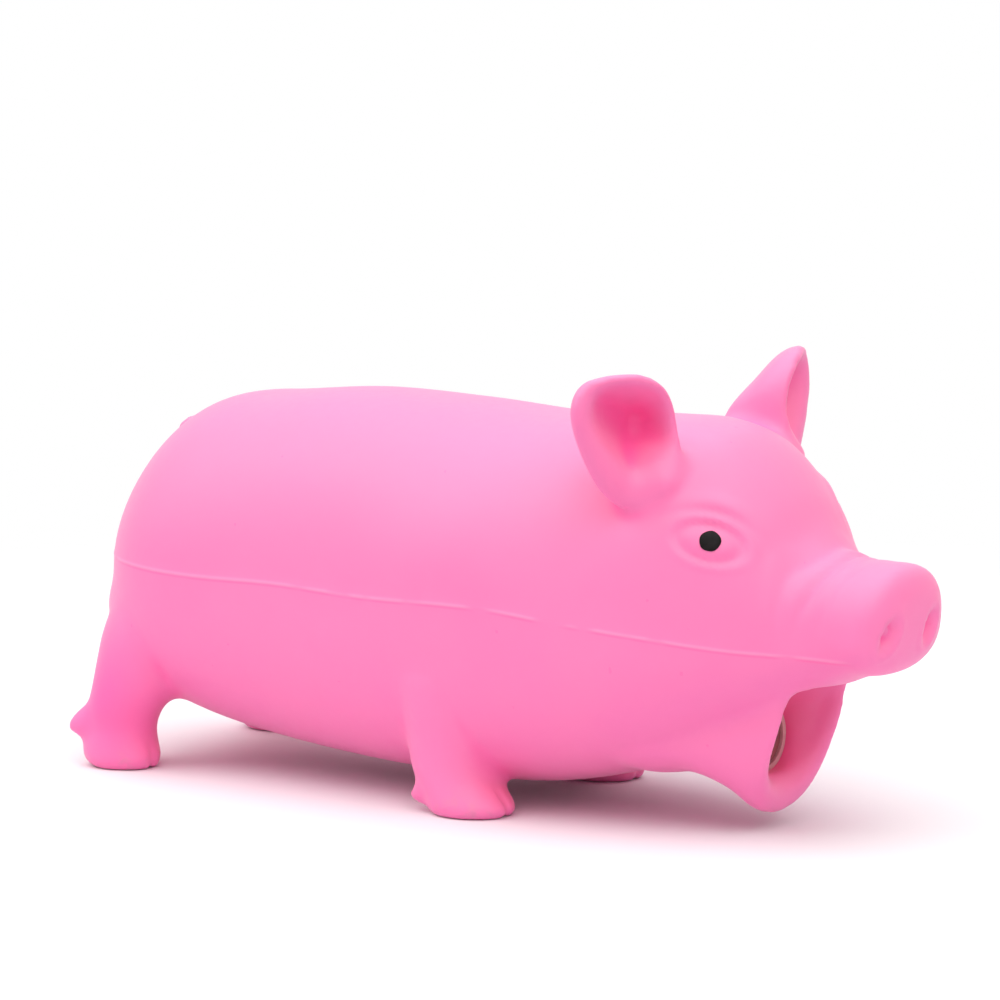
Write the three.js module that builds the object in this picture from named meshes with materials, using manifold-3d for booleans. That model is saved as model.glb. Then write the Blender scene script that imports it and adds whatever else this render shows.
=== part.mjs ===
import * as THREE from 'three';
import { ParametricGeometry } from 'three/addons/geometries/ParametricGeometry.js';
import { mergeVertices } from 'three/addons/utils/BufferGeometryUtils.js';
import Module from 'manifold-3d';

// Hollow rubber pig with a grunter in its throat. Millimetres, X to the snout, Y to the left, Z up.

// Overall skin
const BODY_REAR = -109;
const BODY_FRONT = 109.5;
const BODY_HALF_WIDTH = 42;
const SEAM_HEIGHT = 49;
const BACK_RISE = 44.5;
const BELLY_DROP = 44.5;
const SECTION_POWER = 2.3;
const RUMP_ROUND = 0.2;
const SNOUT_ROUND = 0.03;
const SKIN_WALL = 2.4;
const PART_GAP = 0.3;
const NECK_X = 27;
const SNOUT_LENGTH = 18.5;

// Outline of the trunk and head: place along the length, then shares of rise, drop and half width
const TRUNK_SECTIONS = [
  { at: 0.00, back: 0.93, belly: 0.88, half: 0.92 },
  { at: 0.20, back: 0.97, belly: 0.93, half: 0.95 },
  { at: 0.44, back: 1.02, belly: 1.00, half: 1.00 },
  { at: 0.60, back: 0.97, belly: 0.97, half: 0.985 },
  { at: 0.71, back: 1.01, belly: 0.84, half: 0.94 },
  { at: 0.77, back: 1.00, belly: 0.74, half: 0.88 },
  { at: 0.82, back: 0.92, belly: 0.61, half: 0.78 },
  { at: 0.87, back: 0.68, belly: 0.42, half: 0.62 },
  { at: 0.90, back: 0.44, belly: 0.335, half: 0.49 },
  { at: 0.93, back: 0.36, belly: 0.265, half: 0.41 },
  { at: 1.00, back: 0.35, belly: 0.215, half: 0.40 },
];

// Nostrils
const NOSTRIL_SPREAD = 8.5;
const NOSTRIL_ABOVE_SEAM = 1.5;
const NOSTRIL_HALF_WIDTH = 1.4;
const NOSTRIL_HALF_HEIGHT = 2.6;
const NOSTRIL_DEPTH = 1.8;
const NOSTRIL_SLANT = 0.5;

// Legs: the front pair from the neck, the rear pair from the rump, both in from the flank
const FRONT_FOOT_BEHIND_NECK = 20.5;
const FRONT_FOOT_INSET = 15;
const FRONT_LEG_RADIUS = 12;
const FRONT_LEG_LEAN = -5;
const FRONT_LEG_DRAW_IN = 4;
const FRONT_LEG_TOP_BELOW_SEAM = 9;
const FRONT_CLAW_HEIGHT = 3.6;
const REAR_FOOT_FROM_RUMP = 11.4;
const REAR_FOOT_INSET = 11.5;
const REAR_LEG_RADIUS = 10.2;
const REAR_LEG_LEAN = 13;
const REAR_LEG_DRAW_IN = 8;
const REAR_LEG_TOP_BELOW_SEAM = 3;
const REAR_CLAW_HEIGHT = 9;
const LEG_WALL = 2.8;
const SOLE_THICKNESS = 6.5;
const CLEFT_WIDTH = 1.6;
const CLEFT_DEPTH = 3.5;
const CLEFT_BELOW_HOLLOW = 1.5;
const DEWCLAW_RADIUS = 2.2;
const DEWCLAW_LENGTH = 2.9;
const DEWCLAW_SPREAD = 0.42;
const DEWCLAW_SINK = 0.88;
const LEG_SECTIONS = [
  { up: 0.00, size: 0.88 },
  { up: 0.04, size: 1.00 },
  { up: 0.12, size: 1.00 },
  { up: 0.20, size: 0.91 },
  { up: 0.31, size: 0.87 },
  { up: 0.45, size: 0.95 },
  { up: 0.65, size: 1.20 },
  { up: 0.85, size: 1.30 },
  { up: 1.00, size: 0.90 },
];

// Lower jaw, a scoop that flares to the lip: rings behind the snout's root and below the seam
const JAW_WALL = 2.6;
const MOUTH_OVERRUN = 12;
const JAW_RINGS = [
  { behind: 54, below: 21, half: 26, tall: 18, tilt: 0 },
  { behind: 40, below: 23.5, half: 21, tall: 15, tilt: 4 },
  { behind: 28, below: 26.5, half: 16.5, tall: 12, tilt: 9 },
  { behind: 18, below: 27.5, half: 13.3, tall: 13, tilt: 16 },
  { behind: 11, below: 27.7, half: 12.2, tall: 16.6, tilt: 21 },
  { behind: 7.3, below: 27.4, half: 12.6, tall: 19.4, tilt: 23 },
];

// Ears: where the left one stands on the head, its rim from there, and the depth of the cup
const EAR_PLACE = 0.764;
const EAR_ANGLE = 0.922;
const EAR_BACK_DEPTH = 10;
const EAR_CUP_DEPTH = 6.5;
const EAR_RIM = [
  [3, -10.5, 4.5],
  [-1, -7.6, 15],
  [-3, 3.5, 20.8],
  [-4, 18.6, 20.9],
  [-5.2, 23, 13.5],
  [-3.5, 20, 4.5],
  [2, 10, -4],
  [5, -2, -3.5],
];

// Tail, a curl laid on the rump
const TAIL_FROM_RUMP = 14;
const TAIL_RADIUS = 2.4;
const TAIL_TIP_RADIUS = 1.4;
const TAIL_CURL = 5;
const TAIL_TIP_CURL = 3.2;
const TAIL_LIFT = 1.1;
const TAIL_HALF_TURNS = 1.45;

// Eyes
const EYE_PLACE = 0.8385;
const EYE_ANGLE = 0.57;
const EYE_RADIUS = 2.7;
const EYE_THICKNESS = 1.4;
const EYE_PROUD = 0.35;

// Grunter in the throat
const GRUNTER_BELOW_SEAM = 28;
const GRUNTER_BEHIND_SNOUT = 18;
const BARREL_LENGTH = 24;
const BARREL_RADIUS = 8;
const BARREL_WALL = 1.2;
const FACE_THICKNESS = 1.6;
const FACE_SETBACK = 0.6;
const FACE_HOLES = 6;
const FACE_HOLE_RADIUS = 0.9;
const FACE_HOLE_RING = 3.9;
const CAP_THICKNESS = 2.4;
const TUBE_RADIUS = 2.5;
const TUBE_BORE = 1.5;
const TUBE_LENGTH = 17;
const TUBE_FLAT = 0.6;
const TUBE_END = 1.5;
const REED_WIDTH = 3.2;
const REED_THICKNESS = 0.4;
const REED_LIFT_DEGREES = 4;
const REED_ROOT_LENGTH = 4;
const COLLAR_WIDTH = 3;
const COLLAR_WALL = 1.4;
const COLLAR_OFFSET = 1;

// Working sizes: room for cuts, crowding of rings towards the ends, and steps to feel the surface's lie
const FAR = 400;
const END_CROWDING = 0.72;
const STEP_ALONG = 0.004;
const STEP_AROUND = 0.02;
const snoutRootX = BODY_FRONT - SNOUT_LENGTH;
const wasm = await Module();
wasm.setup();

// Closed body from a geometry: shared corners joined, empty triangles dropped, turned outwards
function solid(geometry) {
  const bare = geometry.clone();
  bare.deleteAttribute('normal');
  bare.deleteAttribute('uv');
  const joined = mergeVertices(bare, 1e-4);
  const index = joined.index.array;
  const kept = [];
  for (let i = 0; i < index.length; i += 3) {
    const [a, b, c] = [index[i], index[i + 1], index[i + 2]];
    if (a !== b && b !== c && c !== a) kept.push(a, b, c);
  }
  const make = (triangles) => new wasm.Manifold(new wasm.Mesh({
    numProp: 3,
    vertProperties: new Float32Array(joined.attributes.position.array),
    triVerts: new Uint32Array(triangles),
  }));
  const body = make(kept);
  return body.volume() > 0 ? body : make(kept.toReversed());
}

// Loft through rings of points, closed by a point at the middle of the first and the last ring
function loft(rings, around, pointAt) {
  const rows = rings.length + 1;
  const place = (u, v, target) => {
    const row = Math.round(v * rows);
    const ring = rings[THREE.MathUtils.clamp(row - 1, 0, rings.length - 1)];
    const spread = row === 0 || row === rows ? 0 : 1;
    const step = Math.round(u * around) % around;
    pointAt(ring, (step / around) * Math.PI * 2, spread, target);
  };
  return solid(new ParametricGeometry(place, around, rows));
}

function box(minX, maxX, minY, maxY, minZ, maxZ) {
  const shape = new THREE.BoxGeometry(maxX - minX, maxY - minY, maxZ - minZ);
  shape.translate((minX + maxX) / 2, (minY + maxY) / 2, (minZ + maxZ) / 2);
  return solid(shape);
}

// Cylinder along X from one place to another
function rod(radius, fromX, toX, y, z, segments = 28) {
  const shape = new THREE.CylinderGeometry(radius, radius, toX - fromX, segments);
  shape.rotateZ(-Math.PI / 2);
  shape.translate((fromX + toX) / 2, y, z);
  return solid(shape);
}

function mirrored(body) {
  return body.mirror([0, 1, 0]);
}

// Trunk section at a share of the length, drawn in by an inset
const sectionCurve = new THREE.CubicInterpolant(
  TRUNK_SECTIONS.map((s) => s.at),
  TRUNK_SECTIONS.flatMap((s) => [s.back, s.belly, s.half]),
  3,
);

function trunkPoint(at, angle, inset, target) {
  const [back, belly, half] = sectionCurve.evaluate(at);
  const fromRump = Math.min(at / RUMP_ROUND, 1);
  const intoSnout = Math.max((at - 1 + SNOUT_ROUND) / SNOUT_ROUND, 0);
  const ends = Math.sqrt(1 - (1 - fromRump) ** 2) * (1 - intoSnout ** 4) ** 0.25;
  const power = 2 / SECTION_POWER;
  const sideways = Math.sign(Math.cos(angle)) * Math.abs(Math.cos(angle)) ** power;
  const upwards = Math.sign(Math.sin(angle)) * Math.abs(Math.sin(angle)) ** power;
  const tall = upwards > 0 ? BACK_RISE * back : BELLY_DROP * belly;
  const x = THREE.MathUtils.lerp(BODY_REAR + inset, BODY_FRONT - inset, at);
  const y = (BODY_HALF_WIDTH * half - inset) * ends * sideways;
  const z = SEAM_HEIGHT + (tall - inset) * ends * upwards;
  return target.set(x, y, z);
}

function trunk(inset, along, around) {
  const place = (u, v, target) => {
    const swing = 0.5 - 0.5 * Math.cos(v * Math.PI);
    const at = THREE.MathUtils.lerp(v, swing, END_CROWDING);
    trunkPoint(at, ((Math.round(u * around) % around) / around) * Math.PI * 2, inset, target);
  };
  return solid(new ParametricGeometry(place, around, along));
}

const trunkOuter = trunk(0, 44, 36);
const trunkInner = trunk(SKIN_WALL, 28, 24);
const trunkClear = trunk(-PART_GAP, 44, 36);
const skin = trunkOuter.subtract(trunkInner);
const half = PART_GAP / 2;
const aboveSeam = box(-FAR, FAR, -FAR, FAR, SEAM_HEIGHT + half, FAR);
const belowSeam = box(-FAR, FAR, -FAR, FAR, -FAR, SEAM_HEIGHT - half);
const behindNeck = box(-FAR, NECK_X - half, -FAR, FAR, -FAR, FAR);
const headSpan = box(NECK_X + half, snoutRootX - half, -FAR, FAR, -FAR, FAR);
const behindSnout = box(-FAR, snoutRootX - half, -FAR, FAR, -FAR, FAR);
const aheadSnout = box(snoutRootX + half, FAR, -FAR, FAR, -FAR, FAR);

const frontLimb = {
  footX: NECK_X - FRONT_FOOT_BEHIND_NECK,
  footY: BODY_HALF_WIDTH - FRONT_FOOT_INSET,
  top: SEAM_HEIGHT - FRONT_LEG_TOP_BELOW_SEAM,
  radius: FRONT_LEG_RADIUS,
  lean: FRONT_LEG_LEAN,
  drawIn: FRONT_LEG_DRAW_IN,
  claw: FRONT_CLAW_HEIGHT,
};
const rearLimb = {
  footX: BODY_REAR + REAR_FOOT_FROM_RUMP,
  footY: BODY_HALF_WIDTH - REAR_FOOT_INSET,
  top: SEAM_HEIGHT - REAR_LEG_TOP_BELOW_SEAM,
  radius: REAR_LEG_RADIUS,
  lean: REAR_LEG_LEAN,
  drawIn: REAR_LEG_DRAW_IN,
  claw: REAR_CLAW_HEIGHT,
};

const legCurve = new THREE.LinearInterpolant(
  LEG_SECTIONS.map((s) => s.up),
  LEG_SECTIONS.map((s) => s.size),
  1,
);

// Leg outline through its sections, drawn in by an inset, from a given height up
function legShape(limb, inset, from, around) {
  const start = from / limb.top;
  const [size] = legCurve.evaluate(start);
  const sections = [{ up: start, size }, ...LEG_SECTIONS.filter((s) => s.up > start)];
  return loft(sections, around, (section, angle, spread, target) => {
    const reach = spread * (limb.radius * section.size - inset);
    target.set(
      limb.footX + limb.lean * section.up ** 2 + reach * Math.cos(angle),
      limb.footY - limb.drawIn * section.up ** 2 + reach * Math.sin(angle),
      limb.top * section.up,
    );
  });
}

function legBore(limb) {
  return legShape(limb, LEG_WALL, SOLE_THICKNESS, 16);
}

// Leg with two dewclaws behind and a cleft between the toes
function leg(limb) {
  let body = legShape(limb, 0, 0, 24);
  for (const side of [-1, 1]) {
    const claw = new THREE.SphereGeometry(1, 10, 6);
    claw.scale(DEWCLAW_LENGTH, DEWCLAW_RADIUS, DEWCLAW_RADIUS);
    const clawY = limb.footY + side * limb.radius * DEWCLAW_SPREAD;
    claw.translate(limb.footX - limb.radius * DEWCLAW_SINK, clawY, limb.claw);
    body = body.add(solid(claw));
  }
  const toe = limb.footX + limb.radius;
  const side = CLEFT_WIDTH / 2;
  const cleftTop = SOLE_THICKNESS - CLEFT_BELOW_HOLLOW;
  const cleft = box(toe - CLEFT_DEPTH, FAR, limb.footY - side, limb.footY + side, -FAR, cleftTop);
  return body.subtract(trunkClear).subtract(legBore(limb)).subtract(cleft);
}

// Lower jaw rings, drawn in by an inset
function jawShape(rings, inset, around) {
  return loft(rings, around, (ring, angle, spread, target) => {
    const tilt = THREE.MathUtils.degToRad(ring.tilt);
    const rise = spread * (ring.tall - inset) * Math.sin(angle);
    target.set(
      snoutRootX - ring.behind + rise * Math.sin(tilt),
      spread * (ring.half - inset) * Math.cos(angle),
      SEAM_HEIGHT - ring.below + rise * Math.cos(tilt),
    );
  });
}

const grunterFront = snoutRootX - GRUNTER_BEHIND_SNOUT;
const grunterHeight = SEAM_HEIGHT - GRUNTER_BELOW_SEAM;
const barrelRear = grunterFront - BARREL_LENGTH;
const seatRadius = BARREL_RADIUS + PART_GAP;
const barrelSeat = rod(seatRadius, NECK_X, grunterFront + PART_GAP, 0, grunterHeight, 36);

function jaw() {
  const outer = jawShape(JAW_RINGS, 0, 30);
  const lip = JAW_RINGS.at(-1);
  const ahead = { ...lip, behind: lip.behind - MOUTH_OVERRUN };
  const throat = {
    behind: GRUNTER_BEHIND_SNOUT,
    below: GRUNTER_BELOW_SEAM,
    half: seatRadius + JAW_WALL,
    tall: seatRadius + JAW_WALL,
    tilt: 0,
  };
  const mouth = jawShape([throat, JAW_RINGS.at(-2), lip, ahead], JAW_WALL, 30);
  return outer.subtract(trunkClear).subtract(barrelSeat).subtract(mouth);
}

// Left ear: from the middle of the back out to the rim and into the cup
function ear() {
  const root = trunkPoint(EAR_PLACE, EAR_ANGLE, 0, new THREE.Vector3());
  const rim = new THREE.CatmullRomCurve3(EAR_RIM.map((p) => new THREE.Vector3(...p).add(root)), true);
  const around = 26;
  const edge = rim.getPoints(around).slice(0, around);
  const middle = edge.reduce((sum, p) => sum.add(p), new THREE.Vector3()).divideScalar(around);
  const rows = 12;
  const place = (u, v, target) => {
    const turn = v * Math.PI;
    const depth = v < 0.5 ? EAR_BACK_DEPTH : EAR_CUP_DEPTH;
    const point = edge[Math.round(u * around) % around];
    target.lerpVectors(middle, point, Math.sin(turn));
    target.x -= depth * Math.abs(Math.cos(turn));
  };
  return solid(new ParametricGeometry(place, around, rows)).subtract(trunkClear);
}

// Tail: a curl that lies on the rump and thins to its tip
function tail() {
  const at = TAIL_FROM_RUMP / (BODY_FRONT - BODY_REAR);
  const seat = trunkPoint(at, Math.PI / 2, 0, new THREE.Vector3());
  const next = trunkPoint(at + STEP_ALONG, Math.PI / 2, 0, new THREE.Vector3());
  const along = next.sub(seat).normalize();
  const out = new THREE.Vector3(-along.z, 0, along.x);
  const points = [];
  const steps = 18;
  for (let i = 0; i <= steps; i++) {
    const turn = (i / steps) * TAIL_HALF_TURNS * Math.PI;
    const reach = THREE.MathUtils.lerp(TAIL_CURL, TAIL_TIP_CURL, i / steps);
    points.push(seat.clone()
      .addScaledVector(along, reach * Math.cos(turn))
      .setY(reach * Math.sin(turn))
      .addScaledVector(out, TAIL_LIFT));
  }
  const path = new THREE.CatmullRomCurve3(points);
  const frames = path.computeFrenetFrames(steps, false);
  const rings = points.map((_, i) => ({
    centre: path.getPointAt(i / steps),
    normal: frames.normals[i],
    side: frames.binormals[i],
    radius: THREE.MathUtils.lerp(TAIL_RADIUS, TAIL_TIP_RADIUS, i / steps),
  }));
  return loft(rings, 10, (ring, angle, spread, target) => target.copy(ring.centre)
    .addScaledVector(ring.normal, spread * ring.radius * Math.cos(angle))
    .addScaledVector(ring.side, spread * ring.radius * Math.sin(angle))).subtract(trunkClear);
}

// Left eye: a disc let into the skin, facing straight out of it
function eyeDisc(grow) {
  const here = trunkPoint(EYE_PLACE, EYE_ANGLE, 0, new THREE.Vector3());
  const ahead = trunkPoint(EYE_PLACE + STEP_ALONG, EYE_ANGLE, 0, new THREE.Vector3()).sub(here);
  const above = trunkPoint(EYE_PLACE, EYE_ANGLE + STEP_AROUND, 0, new THREE.Vector3()).sub(here);
  const out = ahead.cross(above).normalize();
  if (out.y < 0) out.negate();
  const tall = EYE_THICKNESS + grow * 2;
  const disc = new THREE.CylinderGeometry(EYE_RADIUS + grow, EYE_RADIUS + grow, tall, 24);
  disc.applyQuaternion(new THREE.Quaternion().setFromUnitVectors(new THREE.Vector3(0, 1, 0), out));
  const centre = here.addScaledVector(out, EYE_PROUD - EYE_THICKNESS / 2);
  disc.translate(centre.x, centre.y, centre.z);
  return solid(disc);
}

// Snout with its two nostril pits
function snout() {
  let body = skin.intersect(aheadSnout);
  for (const side of [-1, 1]) {
    const pit = new THREE.SphereGeometry(1, 16, 12);
    pit.scale(NOSTRIL_DEPTH, NOSTRIL_HALF_WIDTH, NOSTRIL_HALF_HEIGHT);
    pit.rotateX(side * NOSTRIL_SLANT);
    pit.translate(BODY_FRONT, side * NOSTRIL_SPREAD, SEAM_HEIGHT + NOSTRIL_ABOVE_SEAM);
    body = body.subtract(solid(pit));
  }
  return body;
}

// Grunter
const barrelBore = BARREL_RADIUS - BARREL_WALL;
const capFront = barrelRear + CAP_THICKNESS;
const tubeTip = barrelRear + TUBE_LENGTH;

function barrel() {
  const outer = rod(BARREL_RADIUS, barrelRear, grunterFront, 0, grunterHeight, 36);
  return outer.subtract(rod(barrelBore, barrelRear - 1, grunterFront + 1, 0, grunterHeight, 36));
}

function grunterFace() {
  const front = grunterFront - FACE_SETBACK;
  const back = front - FACE_THICKNESS;
  let body = rod(barrelBore - PART_GAP, back, front, 0, grunterHeight, 36);
  for (let i = 0; i < FACE_HOLES; i++) {
    const turn = (i / FACE_HOLES) * Math.PI * 2;
    body = body.subtract(rod(FACE_HOLE_RADIUS, back - 1, front + 1, FACE_HOLE_RING * Math.cos(turn),
      grunterHeight + FACE_HOLE_RING * Math.sin(turn), 12));
  }
  return body;
}

function rearCap() {
  const body = rod(barrelBore - PART_GAP, barrelRear, capFront, 0, grunterHeight, 36);
  return body.subtract(rod(TUBE_RADIUS + PART_GAP, barrelRear - 1, capFront + 1, 0, grunterHeight));
}

function reedTube() {
  const channel = rod(TUBE_BORE, barrelRear - 1, tubeTip - TUBE_END, 0, grunterHeight, 20);
  const flat = box(capFront + PART_GAP, FAR, -FAR, FAR, grunterHeight + TUBE_FLAT, FAR);
  return rod(TUBE_RADIUS, barrelRear, tubeTip, 0, grunterHeight).subtract(channel).subtract(flat);
}

// Reed: a strip over the flat of the tube, lifted a little towards its tip
const reedPivotX = capFront + PART_GAP + REED_ROOT_LENGTH;
const reedPivotZ = grunterHeight + TUBE_FLAT + PART_GAP + REED_THICKNESS / 2;

function reed() {
  const rear = capFront + PART_GAP * 2 - reedPivotX;
  const strip = new THREE.BoxGeometry(tubeTip - reedPivotX - rear, REED_WIDTH, REED_THICKNESS);
  strip.translate((tubeTip - reedPivotX + rear) / 2, 0, 0);
  strip.rotateY(-THREE.MathUtils.degToRad(REED_LIFT_DEGREES));
  strip.translate(reedPivotX, 0, reedPivotZ + REED_ROOT_LENGTH * Math.sin(
    THREE.MathUtils.degToRad(REED_LIFT_DEGREES)));
  return solid(strip);
}

function reedCollar() {
  const start = capFront + PART_GAP + COLLAR_OFFSET;
  const inner = TUBE_RADIUS + PART_GAP;
  const ring = rod(inner + COLLAR_WALL, start, start + COLLAR_WIDTH, 0, grunterHeight);
  return ring.subtract(rod(inner, start - 1, start + COLLAR_WIDTH + 1, 0, grunterHeight));
}

const pocket = eyeDisc(PART_GAP);
let lowerSkin = skin.intersect(belowSeam).intersect(behindSnout).subtract(barrelSeat);
for (const limb of [frontLimb, rearLimb]) {
  const bore = legBore(limb);
  lowerSkin = lowerSkin.subtract(bore).subtract(mirrored(bore));
}
const frontLeg = leg(frontLimb);
const rearLeg = leg(rearLimb);
const leftEar = ear();
const leftEye = eyeDisc(0);

const rubber = { color: 0xff98cc, roughness: 0.55, metalness: 0 };
const paint = { color: 0x0c0a0b, roughness: 0.35, metalness: 0 };
const plastic = { color: 0xe9dcd3, roughness: 0.45, metalness: 0 };
const dark = { color: 0x8a6f68, roughness: 0.5, metalness: 0 };
const brass = { color: 0xc9a34e, roughness: 0.35, metalness: 1 };

const nodes = [
  ['torso_back', skin.intersect(aboveSeam).intersect(behindNeck), rubber],
  ['head_skin', skin.intersect(aboveSeam).intersect(headSpan).subtract(pocket)
    .subtract(mirrored(pocket)), rubber],
  ['lower_skin', lowerSkin, rubber],
  ['snout', snout(), rubber],
  ['lower_jaw', jaw(), rubber],
  ['leg_front_left', frontLeg, rubber],
  ['leg_front_right', mirrored(frontLeg), rubber],
  ['leg_rear_left', rearLeg, rubber],
  ['leg_rear_right', mirrored(rearLeg), rubber],
  ['ear_left', leftEar, rubber],
  ['ear_right', mirrored(leftEar), rubber],
  ['tail', tail(), rubber],
  ['eye_left', leftEye, paint],
  ['eye_right', mirrored(leftEye), paint],
  ['grunter_barrel', barrel(), plastic],
  ['grunter_face', grunterFace(), dark],
  ['grunter_cap', rearCap(), plastic],
  ['reed_tube', reedTube(), plastic],
  ['reed', reed(), brass],
  ['reed_collar', reedCollar(), dark],
];

const group = new THREE.Group();
group.name = 'rubber_pig';
for (const [name, body, look] of nodes) {
  const data = body.getMesh();
  const geometry = new THREE.BufferGeometry();
  geometry.setAttribute('position', new THREE.BufferAttribute(data.vertProperties, data.numProp));
  geometry.setIndex(new THREE.BufferAttribute(data.triVerts, 1));
  geometry.computeVertexNormals();
  const mesh = new THREE.Mesh(geometry, new THREE.MeshStandardMaterial(look));
  mesh.name = name;
  group.add(mesh);
}

export default group;
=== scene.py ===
"""A squeaky rubber pig as it is seen: a moulded pink skin, painted eyes and a grunter in its mouth."""

import bmesh
import bpy
import numpy as np
from bpy.props import FloatProperty, FloatVectorProperty, IntProperty, PointerProperty
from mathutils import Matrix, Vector


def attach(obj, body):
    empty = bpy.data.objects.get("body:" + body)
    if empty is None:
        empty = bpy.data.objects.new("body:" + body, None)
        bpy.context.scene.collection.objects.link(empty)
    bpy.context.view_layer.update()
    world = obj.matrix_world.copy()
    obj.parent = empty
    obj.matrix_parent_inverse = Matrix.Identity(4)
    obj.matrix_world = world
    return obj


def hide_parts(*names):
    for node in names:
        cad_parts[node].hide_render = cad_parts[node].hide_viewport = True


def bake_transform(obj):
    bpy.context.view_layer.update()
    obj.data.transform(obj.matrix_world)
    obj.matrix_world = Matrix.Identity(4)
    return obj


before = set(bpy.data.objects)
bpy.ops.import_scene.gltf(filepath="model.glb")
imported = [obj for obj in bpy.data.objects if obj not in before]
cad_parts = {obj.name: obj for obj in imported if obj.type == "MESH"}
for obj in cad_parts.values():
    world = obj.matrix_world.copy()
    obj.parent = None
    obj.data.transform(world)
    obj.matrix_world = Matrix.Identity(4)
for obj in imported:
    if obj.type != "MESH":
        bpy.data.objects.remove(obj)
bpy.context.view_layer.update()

bl_info = {
    "name": "Squeaky pig",
    "version": (1, 0, 0),
    "blender": (4, 5, 0),
    "location": "View3D > Sidebar > Squeaky pig",
    "description": "Builds the skin, ears, eyes and grunter of a squeaky rubber pig, and its studio",
    "category": "Object",
}

MM = 0.001
SIDES = {"left": 1.0, "right": -1.0}

# Sizes below are in millimetres and angles in radians; bounds say where a rise starts and ends.

# Trunk: its ends, the seam's plane, its sections' powers, and how the rump and the snout close.
TRUNK_REAR = -109
TRUNK_FRONT = 112.8
SEAM = 49
TRUNK_POWER = 2.3
REAR_POWER = 1.85
REAR_REACH = 59
RUMP_LENGTH = 41
RUMP_WIDTH_POWER = 2.4
RUMP_BACK_POWER = 2.2
RUMP_BELLY_POWER = 3.15
HAUNCH_POWER = 3.1
HAUNCH_BLEND = 0.4
SNOUT_EDGE = 8
SNOUT_EDGE_POWER = 2.8
SNOUT_TILT = 0.15
SNOUT_TILT_FROM = 92
SNOUT_TILT_LEVEL = 53
# Outline along the pig: x, height of the back, height of the belly, half width.
TRUNK = np.array([
    (-109, 83.2, 14, 35.1),
    (-90, 89.7, 12.9, 39.4),
    (-65.3, 91.7, 8.5, 40.6),
    (-42, 93.9, 5.9, 41.3),
    (-12.9, 93.6, 4.5, 42),
    (22.1, 92.2, 5.8, 41.4),
    (46.1, 93.7, 11.6, 39.5),
    (59.2, 93.5, 16.1, 37),
    (70.2, 89.7, 21.9, 32.8),
    (81.1, 78.6, 28.5, 26),
    (87.7, 68.2, 32.3, 20.6),
    (94.2, 65, 35.6, 17.6),
    (103.5, 64.6, 38.8, 17.3),
    (112.8, 65, 39, 17.5),
])

# Legs: foot x and y, then rings up the leg: height, radius, how far ahead of the foot, how far drawn in.
FEET = {"front": (3.6, 27), "rear": (-95.6, 30.5)}
LEG_RINGS = {
    "front": np.array([
        (0, 8.9, 4.4, 0), (1.5, 9.9, 4.4, 0), (4.5, 9.9, 3.2, 0), (8, 9.9, 1, 0),
        (11, 10.1, 0, 0), (18, 11, 0, 0), (27, 13, 0, 0), (34, 14.6, -1, 1),
        (40, 12, -2.5, 2.5),
    ]),
    "rear": np.array([
        (0, 7.6, 1, 0), (2, 9, 0.3, 0), (5.5, 9.1, 0.2, 0), (10, 8.6, 0.8, 0),
        (14, 9.3, 1.7, 0), (18, 10.5, 3.5, 1.2), (27, 12, 5.9, 3.5), (32, 12.9, 7.2, 5),
        (40, 13.5, 9.8, 7.5), (47, 12.2, 10.7, 10.5), (54, 7.5, 12, 14),
    ]),
}
SOLE_MIDDLE = 0.2
SOLE_SHARE = 0.93
TOE_REACH = 1.8
TOE_FADE = (1, 9)
# Dewclaws: height at the root and at the tip, length from the leg's axis and radius at the root.
DEWCLAWS = {"front": (7, 3.4, 12.2, 4.4), "rear": (13.5, 9, 14.1, 5.4)}
DEWCLAW_WAY = np.array((-0.83, 0.56))
DEWCLAW_TAPER = 2.2
DEWCLAW_TIP = 0.62
# Split between the toes: depth, width, bounds ahead of the foot and fade upwards.
CLEFT_DEPTH = 0.8
CLEFT_WIDTH = 0.8
CLEFT_FROM = (4, 8)
CLEFT_REACH = 20
CLEFT_FADE = (4, 9)

# Lower jaw rings: distance behind the snout's root, depth below the seam, half width, half height and
# tilt in degrees.
SNOUT_ROOT = 91
JAW = np.array([
    (54, 21, 30, 14, 0),
    (40, 23, 27, 14.6, 4),
    (28, 25, 23.4, 11.6, 9),
    (18.5, 26, 19.8, 14.2, 11),
    (12.4, 26.2, 16.4, 18.9, 15.5),
    (8.5, 25.5, 15, 21, 19),
])
JAW_POWER = 2.5
# Mouth: wall, lift of the chin, wider top, narrowing at the grunter, cut and drop past the lip.
JAW_WALL = 3.2
CHIN = 4
MOUTH_EGG = 0.2
MOUTH_NARROWING = 1.8
MOUTH_AHEAD = 12
MOUTH_DROP = 5
GRUNTER_FRONT = 73
GRUNTER_AXIS = 21
GRUNTER_RADIUS = 8.15
THROAT_BACK = 68.5
# Bounds of the mouth's inside, and the lean, bounds and least of the painted shade that fades from the
# grunter towards the lip.
MOUTH_BACK = (66, 68)
MOUTH_FRONT = (92, 96)
MOUTH_TOP = (38, 42)
MOUTH_SIDE = (14, 17)
MOUTH_FACING = (0, 0.5)
MOUTH_SHADE_LEAN = 0.3
MOUTH_SHADE_FADE = (72, 81)
MOUTH_SHADE_LEAST = 0.1

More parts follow.
